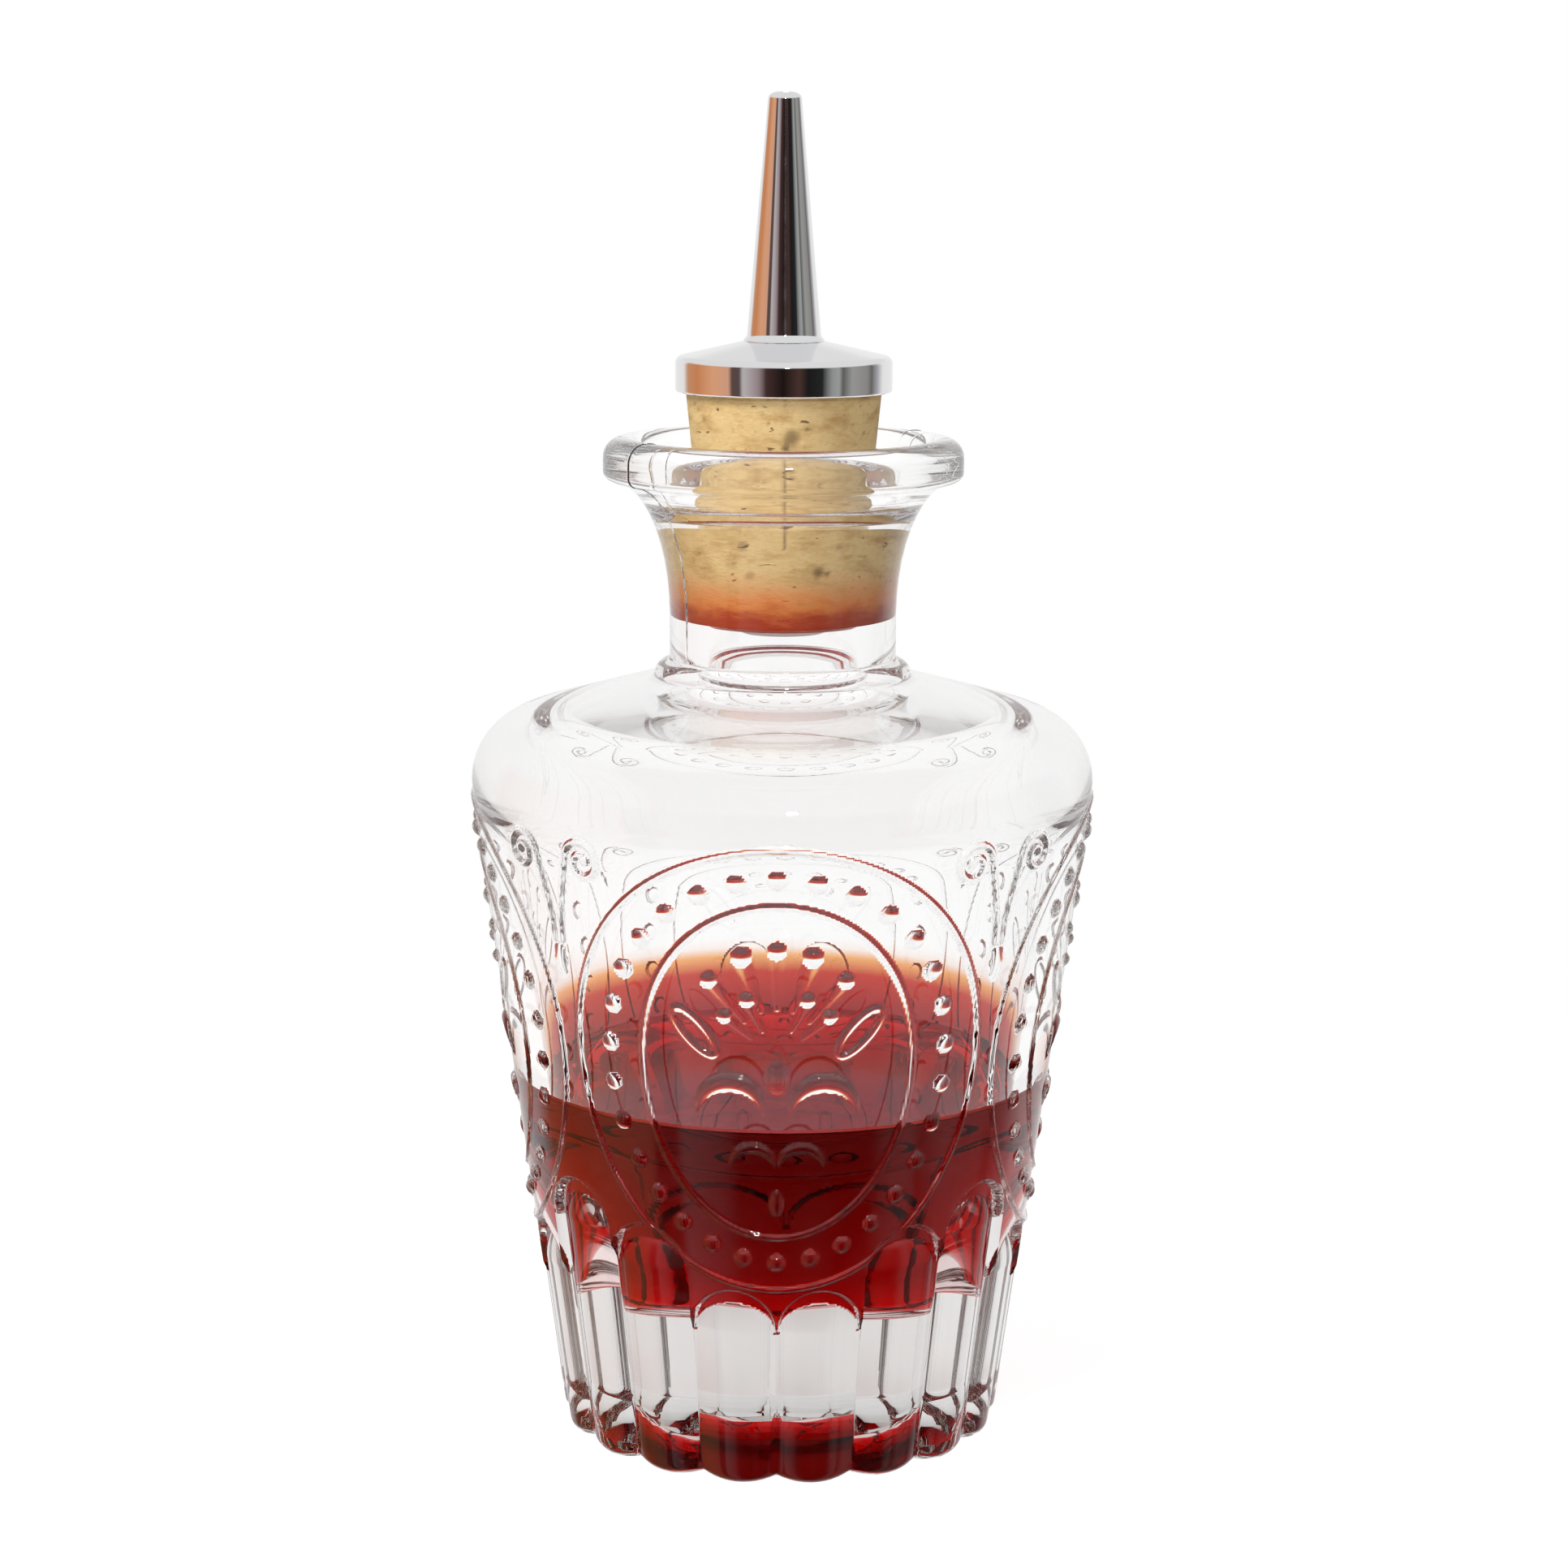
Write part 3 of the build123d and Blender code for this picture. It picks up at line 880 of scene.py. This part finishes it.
    def refine(self, mesh: EditMesh, limit: float) -> None:
        """Divide the faces of the plain mesh that the ornament bends by more than a limit."""
        faces = [face for face in mesh.faces if len(face.verts) == 4]
        spots = np.array([[vert.co[:] for vert in face.verts] for face in faces])
        middle = angles_of(spots.mean(1))[:, None]
        angle = middle + (angles_of(spots) - middle + math.pi) % (2 * math.pi) - math.pi
        height = spots[..., 2]
        wall = self.side.outside(spots) & (height > self.band_low) & (height < self.band_high)
        chosen = np.nonzero(wall.all(1))[0]
        low, high = angle[chosen].min(1), angle[chosen].max(1)
        foot, head = height[chosen].min(1), height[chosen].max(1)
        shares = np.linspace(0.0, 1.0, 5)
        grid = np.zeros((len(chosen), 5, 5))
        for i, across in enumerate(shares):
            for j, up in enumerate(shares):
                grid[:, i, j] = self.relief(low + (high - low) * across, foot + (head - foot) * up)
        ends = np.stack((1 - shares, shares))
        flat = np.einsum("fij,ia,jb->fab", grid[:, ::4, ::4], ends, ends)
        bent = np.abs(grid - flat).max((1, 2)) > limit
        seeds = {vert for index in chosen[bent] for vert in faces[index].verts}
        allowed = {faces[index] for index in chosen}
        wanted = {face for vert in seeds for face in vert.link_faces if face in allowed}
        edges = list({edge for face in wanted for edge in face.edges})
        bmesh.ops.subdivide_edges(mesh, edges=edges, cuts=1, use_grid_fill=True)

    def ornament(self, mesh: EditMesh) -> None:
        """Move the outside vertices by the ornament and scallop the heel."""
        verts = list(mesh.verts)
        spots = np.array([vert.co[:] for vert in verts])
        radius = np.hypot(spots[:, 0], spots[:, 1])
        height = spots[:, 2]
        wall = self.side.outside(spots) & (height < self.band_high)
        wall |= height < self.sole_round
        move = self.relief(angles_of(spots), np.maximum(height, self.heel_low))
        fade = smooth_step((radius - self.heel_fade[0]) / self.heel_fade[1])
        full, most, raised = self.heel_lift
        low = np.clip(1 - height / self.heel_high, 0.0, 1.0)
        lift = np.clip(-move / full, 0.0, most) * raised * low**2 * fade
        for index in np.nonzero(wall & (radius > self.heel_inside))[0]:
            grown = (radius[index] + move[index] * fade[index]) / radius[index]
            verts[index].co = (spots[index, 0] * grown, spots[index, 1] * grown, height[index] + lift[index])

    def normals(self, data: bpy.types.Mesh) -> None:
        """Give the ornamented wall the exact normals of its ornament."""
        spots = spots_of(data) / MM
        normals = spots_of(data, "normal")
        height = spots[:, 2]
        wall = self.side.outside(spots) & (height > self.shaded[0]) & (height < self.shaded[1])
        angle = angles_of(spots[wall])
        up = height[wall]
        step = 0.05
        turn = step / np.hypot(spots[wall, 0], spots[wall, 1])
        across = (self.relief(angle + turn, up) - self.relief(angle - turn, up)) / (2 * step)
        slope = (self.relief(angle, up + step) - self.relief(angle, up - step)) / (2 * step)
        slope += (self.side.corner_radius - self.side.foot_radius) / self.side.corner_height
        outward = np.stack((np.sin(angle), -np.cos(angle), np.zeros_like(angle)), 1)
        sideways = np.stack((np.cos(angle), np.sin(angle), np.zeros_like(angle)), 1)
        exact = outward - sideways * across[:, None]
        exact[:, 2] -= slope
        normals[wall] = exact / np.linalg.norm(exact, axis=1)[:, None]
        data.normals_split_custom_set_from_vertices(normals)

    def seam(self, mesh: EditMesh) -> None:
        """Raise the fine line that the mould left on the neck and the lip, on both sides."""
        inner, low = self.seam_start
        for turn in (self.seam_angle, self.seam_angle + math.pi):
            way = Vector((math.sin(turn), -math.cos(turn), 0.0))
            for _ in range(2):
                near = []
                for face in mesh.faces:
                    middle = face.calc_center_median()
                    if middle.z < low - 0.5 or math.hypot(middle.x, middle.y) < inner - 0.3:
                        continue
                    away = abs(way.x * middle.y - way.y * middle.x)
                    if away < self.seam_near and way.x * middle.x + way.y * middle.y >= 0.0:
                        near.append(face)
                edges = list({edge for face in near for edge in face.edges})
                bmesh.ops.subdivide_edges(mesh, edges=edges, cuts=2, use_grid_fill=True)
            for vert in mesh.verts:
                away = abs(way.x * vert.co.y - way.y * vert.co.x)
                if vert.co.z <= low or math.hypot(vert.co.x, vert.co.y) <= inner:
                    continue
                if away < self.seam_half and way.dot(vert.co) > 0.0:
                    lift = self.seam_raise * (1.0 - (away / self.seam_half) ** 2)
                    vert.co += vert.normal * (lift * min(1.0, (vert.co.z - low) / self.seam_run))

    def marks(self, data: bpy.types.Mesh) -> None:
        """Mark the inside that the bitters wets, and the painted red shadow on its back above the level."""
        centres = np.array([face.center[:] for face in data.polygons]) / MM
        inner = ~self.side.outside(centres) & (centres[:, 2] > self.hollow.floor - 0.1)
        mark(data, "wet", "FACE", inner & (centres[:, 2] < self.hollow.level + self.hollow.rise))
        spots = spots_of(data) / MM
        # painted red shadow: full at the level, fading out above it, and only on the back of the inside
        above = (spots[:, 2] - self.hollow.level) / self.film_height
        amount = np.clip(1.0 - above, 0.0, 1.0) * smooth_step(above * 4.0 + 1.0)
        amount *= smooth_step((spots[:, 1] - self.film_front[0]) / self.film_front[1])
        mark(data, "film", "POINT", amount * ~self.side.outside(spots))

    def build(self) -> Piece:
        """Make the glass, dress it and seat it on the bottle body."""
        mesh = lathe(self.outline(), self.steps)
        for limit in self.limits:
            self.refine(mesh, limit)
        self.ornament(mesh)
        self.seam(mesh)
        piece = finished(mesh, "pressed_glass")
        self.normals(piece.data)
        self.marks(piece.data)
        return seat(piece, self.finish.material(), Body.BOTTLE, "glass_bottle")


@dataclass
class Bitters:
    """Bitters in the bottle, level, with a small rise where it meets the glass."""

    hollow: Hollow = Hollow()
    finish: RedBitters = RedBitters()
    overlap: float = 0.04
    climb: float = 0.75  # run over which the rise at the glass dies away
    insets: Shape = (0.15, 0.4, 0.8, 1.3, 2.0, 3.0)  # rings of the surface, from the glass inward
    rings: Shape = (20.0, 12.0, 6.0, 0.0)
    steps: int = 200

    def build(self) -> Piece:
        """Make the liquid, dress it and seat it on the bottle body."""
        level = self.hollow.level
        outline = swollen(self.hollow.below(level + self.hollow.rise), self.overlap)
        edge, crest = outline[-1]
        for inset in self.insets:
            outline.append((edge - inset, level + (crest - level) * math.exp(-inset / self.climb)))
        outline += [(radius, level) for radius in self.rings]
        piece = finished(lathe(outline, self.steps), "red_bitters")
        mark(piece.data, "wet", "FACE", np.array([face.normal.z < 0.0 for face in piece.data.polygons]))
        return seat(piece, self.finish.material(), Body.BOTTLE, "bitters_fill")


@dataclass
class CorkStopper:
    """Tapered natural cork with pits and a crack, bored for the tube."""

    finish: NaturalCork = NaturalCork()
    lines: CorkLines = CorkLines()
    bore: float = 3.05
    edge_round: float = 0.5
    row: float = 0.35
    steps: int = 220
    spots: tuple[Shape, ...] = (
        (0.045, 118.2, 0.75, 0.95),
        (0.11, 119.3, 1.3, 0.8),
        (-0.42, 107.8, 0.75, 0.6),
        (-0.36, 103.9, 0.65, 0.55),
        (0.41, 104.5, 0.95, 1.0),
        (0.5, 104.2, 0.55, 0.9),
        (-0.55, 118.0, 0.3, 0.6),
        (0.2, 100.6, 0.5, 0.5),
        (0.62, 107.6, 0.5, 0.5),
        (-0.15, 121.0, 0.35, 0.5),
    )
    crack_angle: float = 0.035
    crack_half: float = 0.22
    crack_span: Point = (107.5, 115.5)
    pore_shift: Point3 = (7.3, 1.1, 4.2)
    pore_least: float = 0.52  # noise over which a pore opens
    sunk: float = 0.35
    darkest: float = 0.85
    open_height: float = 110.8  # pits are cut above this height, where the glass leaves room

    def build(self) -> Piece:
        """Make the cork, dress it and seat it on the cork body."""
        low, top = self.lines.bottom, self.lines.bottom + self.lines.length
        corners = [
            (self.bore, low, 0.0),
            (self.lines.bottom_radius, low, self.edge_round),
            (self.lines.top_radius, top, self.edge_round),
            (self.bore, top, 0.0),
        ]
        outline = refined(rounded_path(corners, segments=3), self.row, low + 0.3, top - 0.3)
        mesh = lathe(outline, self.steps, closed=True)
        pits = self.pits(mesh)
        piece = finished(mesh, "natural_cork")
        mark(piece.data, "pit", "POINT", pits)
        return seat(piece, self.finish.material(), Body.CORK, "cork_stopper")

    def pits(self, mesh: EditMesh) -> Array:
        """Sink pores, chips and one crack into the cork's side.

        Args:
            mesh: Mesh of the cork in millimetres.

        Returns:
            Darkness of each vertex, from 0 to 1.
        """
        dark = np.zeros(len(mesh.verts))
        for index, vert in enumerate(mesh.verts):
            radius = math.hypot(vert.co.x, vert.co.y)
            if radius < self.bore + 1.0:
                continue
            angle = math.atan2(vert.co.x, -vert.co.y)
            wander = noise.noise(vert.co * 1.3) * 0.5
            amount = 0.0
            for turn, height, size, depth in self.spots:
                across = (angle - turn) * radius * 1.15 + wander * 0.5
                away = math.hypot(across, vert.co.z - height + wander * 0.5)
                amount = max(amount, depth * max(0.0, 1.0 - (away / size) ** 2))
            crack = abs((angle - self.crack_angle) * radius + wander * 0.12)
            if self.crack_span[0] < vert.co.z < self.crack_span[1] and crack < self.crack_half:
                amount = max(amount, 0.9 * (1 - crack / self.crack_half))
            place = Vector((vert.co.x * 0.9, vert.co.y * 0.9, vert.co.z * 1.9))
            pore = noise.noise(place + Vector(self.pore_shift))
            amount = max(amount, min(1.0, max(0.0, (pore - self.pore_least) * 3.0)))
            dark[index] = min(1.0, amount)
            depth = self.sunk * amount * min(1.0, max(0.0, (vert.co.z - self.open_height) / 1.5))
            vert.co.x *= (radius - depth) / radius
            vert.co.y *= (radius - depth) / radius
        return dark * self.darkest


@dataclass
class DasherTop:
    """Chromed cap and cone, with the tube and restrictor under them."""

    finish: BrightChrome = BrightChrome()
    plastic: MilkyPlastic = MilkyPlastic()
    steps: int = 128
    crisp: float = 40.0  # degrees over which an edge stays sharp in the shading
    cap_lines: tuple[Point3, ...] = (
        (11.7, 124.0, 0.0),
        (12.6, 124.0, 0.3),
        (12.6, 128.0, 0.9),
        (4.75, 129.8, 0.6),
        (3.02, 129.8, 0.0),
        (3.02, 126.25, 0.0),
        (11.7, 126.25, 0.0),
    )
    cone_foot: tuple[Point, ...] = (
        (3.02, 129.8),
        (4.66, 129.8),
        (4.7, 129.9),
        (4.62, 130.05),
        (4.34, 130.35),
        (4.27, 130.7),
        (1.95, 157.3),
    )
    tip: Point = (0.75, 157.35)
    tip_reach: Point = (1.2, 0.8)
    cone_inside: tuple[Point, ...] = ((0.75, 156.5), (1.05, 156.5), (3.02, 133.8))

    def turned(self, outline: list[Point], name: str, node: str) -> Piece:
        """Turn a metal piece from its outline, dress it and seat it on the dasher body."""
        piece = finished(lathe(outline, self.steps, closed=True), name)
        self.flatten(piece, self.crisp)
        return seat(piece, self.finish.material(), Body.DASHER, node)

    def cap(self) -> Piece:
        """Domed cap with a skirt over the cork's top."""
        return self.turned(rounded_path(list(self.cap_lines), segments=8), "chrome_cap", "cap_shell")

    def cone(self) -> Piece:
        """Hollow cone with a fine hole at its rounded tip."""
        tip = curved(self.tip, self.tip_reach, (0.15, 0.45, 0.8, 1.15, 1.5))
        return self.turned([*self.cone_foot, *tip, *self.cone_inside], "dasher_tip", "dasher_cone")

    def flatten(self, piece: Piece, degrees: float) -> None:
        """Keep edges sharper than an angle crisp in the shading."""
        mesh = bmesh.new()
        mesh.from_mesh(piece.data)
        for edge in mesh.edges:
            if len(edge.link_faces) == 2 and edge.calc_face_angle(0.0) > math.radians(degrees):
                edge.smooth = False
        mesh.to_mesh(piece.data)
        mesh.free()

    def build(self) -> list[Piece]:
        """Make and dress every piece of the top."""
        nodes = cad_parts
        milky = self.plastic.material()
        dress(nodes["flow_tube"], milky)
        dress(nodes["dash_restrictor"], milky)
        return [self.cap(), self.cone()]


@dataclass(frozen=True)
class Lamp:
    """Square lamp that faces the bottle."""

    name: str
    place: Point3
    size: float
    watts: float
    mirrored: bool  # whether glass and metal show a highlight of the lamp

    def build(self) -> None:
        """Hang the lamp at its place."""
        data = bpy.data.lights.new(self.name, "AREA")
        data.size = self.size * MM
        data.energy = self.watts
        made = bpy.data.objects.new(self.name, data)
        made.visible_glossy = self.mirrored
        made.visible_transmission = False
        spot = Vector(self.place) * MM
        made.location = spot
        made.rotation_euler = (Vector((0, 0, 0.08)) - spot).to_track_quat("-Z", "Y").to_euler()
        bpy.context.scene.collection.objects.link(made)


@dataclass
class Studio:
    """Pale floor, plain soft light and the camera of the photograph."""

    distance: float = 400.0
    eye_height: float = 152.4
    pitch: float = 10.59  # degrees downward
    turn: float = 0.8
    roll: float = 0.24
    lens: float = 78.77  # focal length over a 36 mm sensor
    aim_shift: float = -0.03
    ceiling: Colour = (0.8, 0.8, 0.8)  # what metal mirrors from above
    room: Colour = (0.62, 0.62, 0.62)  # what lights the pieces from all round
    through_low: Colour = (1.06, 1.06, 1.06)  # what glass shows behind it, low and high
    through_high: Colour = (0.8, 0.79, 0.77)
    fade: Point = (90.0 * MM, 260.0 * MM)  # distances between which the floor turns plain white
    floor_glow: float = 0.76
    floor_through: float = 1.07  # brightness of the far floor behind glass
    lamps: tuple[Lamp, ...] = (
        Lamp("key", (-420.0, -420.0, 620.0), 320.0, 7.0, False),
        Lamp("front_spark", (40.0, -520.0, 300.0), 36.0, 0.8, True),
        Lamp("back_spark", (0.0, 370.0, 400.0), 30.0, 0.6, True),
    )

    def camera(self) -> None:
        """Put the camera where the photograph was taken from."""
        data = bpy.data.cameras.new("photo_camera")
        data.lens = self.lens
        data.sensor_width = 36.0
        data.sensor_fit = "HORIZONTAL"
        data.clip_start = 0.01
        data.clip_end = 20.0
        eye = bpy.data.objects.new("photo_camera", data)
        turns = (self.turn, self.aim_shift, self.roll)
        around, aim, roll = (Matrix.Rotation(math.radians(turn), 4, "Z") for turn in turns)
        place = Matrix.Translation((0.0, -self.distance * MM, self.eye_height * MM))
        tilt = Matrix.Rotation(math.radians(90.0 - self.pitch), 4, "X")
        eye.matrix_world = around @ place @ aim @ tilt @ roll
        bpy.context.scene.collection.objects.link(eye)
        bpy.context.scene.camera = eye

    def world(self) -> None:
        """White room with an orange panel, dark front and grey side for the metal to mirror."""
        world = bpy.data.worlds.new("studio")
        bpy.context.scene.world = world
        sketch = NodeSketch(world)
        split = sketch.node("SeparateXYZ", _Vector=sketch.node("TexCoord").outputs["Generated"])
        flip = sketch.maths("MULTIPLY", split.outputs["Y"], -1.0)
        angle = sketch.maths("ARCTAN2", split.outputs["X"], flip)
        ring = sketch.ramp(sketch.maths("MULTIPLY_ADD", angle, 0.5 / math.pi, 0.5), self.ring_stops())
        mirror = sketch.blend(sketch.span(split.outputs["Z"], 0.22, 0.42), ring, self.ceiling)
        through = sketch.blend(sketch.span(split.outputs["Z"], 0.5, 0.9), self.through_low, self.through_high)
        rays = sketch.node("LightPath").outputs
        colour = sketch.blend(rays["Is Glossy Ray"], self.room, mirror)
        colour = sketch.blend(rays["Is Transmission Ray"], colour, through)
        colour = sketch.blend(rays["Is Camera Ray"], colour, (1.0, 1.0, 1.0))
        shine = sketch.node("Background", _Strength=1.0, _Color=colour)
        sketch.node("OutputWorld", _Surface=shine)

    def ring_stops(self) -> Stops:
        """Colours round the room, from the back over the left, the front and the right."""
        degrees: Stops = (
            (-180.0, (0.9, 0.9, 0.9)), (-132.0, (0.85, 0.83, 0.82)),
            (-122.0, (0.6, 0.3, 0.16)), (-104.0, (0.62, 0.24, 0.1)),
            (-80.0, (0.75, 0.37, 0.2)), (-60.0, (0.68, 0.36, 0.24)),
            (-56.0, (0.12, 0.07, 0.06)), (-47.0, (0.1, 0.07, 0.07)),
            (-43.0, (0.52, 0.48, 0.48)), (-26.0, (0.32, 0.25, 0.26)),
            (-18.0, (0.06, 0.03, 0.028)), (0.0, (0.012, 0.008, 0.007)),
            (17.0, (0.07, 0.035, 0.03)), (26.0, (0.012, 0.012, 0.012)),
            (42.0, (0.02, 0.02, 0.02)), (53.0, (0.3, 0.31, 0.3)),
            (61.0, (0.36, 0.37, 0.36)), (66.0, (0.12, 0.12, 0.11)),
            (78.0, (0.34, 0.34, 0.33)), (100.0, (0.28, 0.27, 0.26)),
            (107.0, (0.15, 0.14, 0.13)), (118.0, (0.4, 0.4, 0.42)),
            (130.0, (0.85, 0.85, 0.85)), (180.0, (0.9, 0.9, 0.9)),
        )
        return tuple((0.5 + angle / 360.0, colour) for angle, colour in degrees)

    def floor(self) -> Piece:
        """Pale floor that shows white and keeps the object's shadow."""
        mesh = bmesh.new()
        bmesh.ops.create_circle(mesh, cap_ends=True, radius=3000.0, segments=96)
        bmesh.ops.translate(mesh, vec=(0, 0, -0.03), verts=mesh.verts)
        piece = finished(mesh, "floor")
        sketch = NodeSketch(bpy.data.materials.new("pale_floor"))
        rays = sketch.node("LightPath").outputs
        away = sketch.node("VectorMath", operation="LENGTH")
        sketch.put(away.inputs[0], sketch.node("TexCoord").outputs["Object"])
        far = sketch.span(away.outputs["Value"], *self.fade)
        plain = sketch.node("BsdfDiffuse", _Color=(0.8, 0.8, 0.8))
        near = sketch.node("AddShader")
        sketch.put(near.inputs[0], sketch.node("BsdfDiffuse", _Color=(0.3, 0.3, 0.3)))
        sketch.put(near.inputs[1], sketch.node("Emission", _Strength=self.floor_glow))
        white = sketch.node("Emission", _Strength=1.0)
        lit = sketch.node("Emission", _Strength=self.floor_through)
        look = sketch.mixed(far, near, sketch.mixed(rays["Is Transmission Ray"], white, lit))
        seen = sketch.maths("MAXIMUM", rays["Is Camera Ray"], rays["Is Transmission Ray"])
        look = sketch.mixed(seen, plain, look)
        mirrored = sketch.maths("SUBTRACT", rays["Is Glossy Ray"], rays["Is Transmission Ray"])
        dress(piece, sketch.close(sketch.mixed(mirrored, look, sketch.node("BsdfTransparent"))))
        return piece

    def build(self) -> None:
        """Set up view, light paths, world, floor, lamps and camera."""
        bpy.context.scene.view_settings.view_transform = "Standard"
        paths = bpy.context.scene.cycles
        paths.max_bounces = 40
        paths.glossy_bounces = 24
        paths.transmission_bounces = 40
        self.world()
        self.floor()
        for lamp in self.lamps:
            lamp.build()
        self.camera()


def main() -> None:
    """Build the studio and every piece, in order."""
    logging.basicConfig(level=logging.INFO, format="%(name)s: %(message)s")
    Studio().build()
    PressedBottle().build()
    Bitters().build()
    CorkStopper().build()
    DasherTop().build()


if __name__ == "__main__":
    main()
